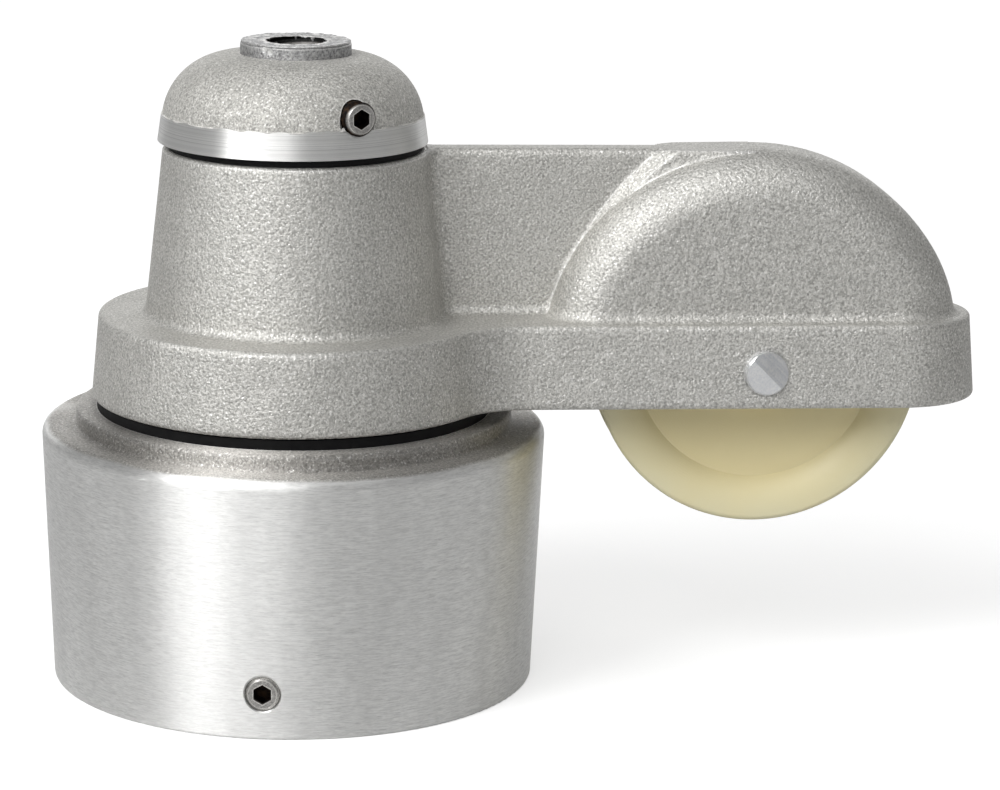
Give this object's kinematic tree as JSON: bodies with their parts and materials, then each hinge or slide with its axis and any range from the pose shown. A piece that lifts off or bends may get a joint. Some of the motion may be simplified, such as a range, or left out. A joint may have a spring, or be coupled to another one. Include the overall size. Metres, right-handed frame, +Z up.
{
  "type": "revolving flagpole truck",
  "caption": "Cap-style flagpole truck: a fixed pole cap and spindle, a revolving arm, and a hooded nylon sheave that carries the halyard.",
  "frame": {"origin": "centre of the pole cap's mouth, on the spindle's axis", "axes": "+Z up the flagpole along the spindle, +X along the arm towards the sheave at rest"},
  "size_m": [0.1749, 0.0934, 0.1188],
  "materials": {
    "cast_aluminium": "brushed side, fine cast top",
    "cast_aluminium_truck": "fine cast grain",
    "cast_aluminium_dome": "fine cast grain, turned band",
    "stainless": "bright stainless",
    "spindle_aluminium": "turned bar, sawn end",
    "axle_steel": "zinc plated",
    "bearing_steel": "ground",
    "cage_brass": "pressed",
    "bushing_bronze": "sintered bronze",
    "seal_rubber": "matte",
    "sheave_nylon": "natural nylon, slightly glossy"
  },
  "bodies": {
    "base": {"pole_cap": "cast_aluminium", "pole_set_screws": "stainless", "spindle": "spindle_aluminium", "spindle_washer": "stainless", "spindle_nut": "stainless", "lower_race_bottom": "bearing_steel", "lower_dust_seal": "seal_rubber", "upper_race_top": "bearing_steel", "dome_cap": "cast_aluminium_dome", "dome_set_screw": "stainless"},
    "truck": {"truck_body": "cast_aluminium_truck", "lower_race_top": "bearing_steel", "upper_race_bottom": "bearing_steel", "upper_dust_seal": "seal_rubber", "hub_bushing_lower": "bushing_bronze", "hub_bushing_upper": "bushing_bronze", "sheave_axle": "axle_steel", "sheave_washers": "stainless"},
    "sheave": {"sheave": "sheave_nylon", "sheave_bushing": "bushing_bronze"},
    "lower_ball_set": {"lower_balls": "bearing_steel", "lower_ball_cage": "cage_brass"},
    "upper_ball_set": {"upper_balls": "bearing_steel", "upper_ball_cage": "cage_brass"}
  },
  "joints": [
    {"name": "truck_turn", "type": "hinge", "parent": "base", "child": "truck", "pos_m": [0, 0, 0.06], "axis": [0, 0, 1], "continuous": true},
    {"name": "sheave_spin", "type": "hinge", "parent": "truck", "child": "sheave", "pos_m": [0.0862, 0, 0.0598], "axis": [0, 1, 0], "continuous": true},
    {"name": "lower_balls_turn", "type": "hinge", "parent": "base", "child": "lower_ball_set", "pos_m": [0, 0, 0.053], "axis": [0, 0, 1], "continuous": true},
    {"name": "upper_balls_turn", "type": "hinge", "parent": "base", "child": "upper_ball_set", "pos_m": [0, 0, 0.1001], "axis": [0, 0, 1], "continuous": true}
  ],
  "couplings": [
    {"joint": "lower_balls_turn", "follows": "truck_turn", "ratio": 0.5},
    {"joint": "upper_balls_turn", "follows": "truck_turn", "ratio": 0.5}
  ]
}
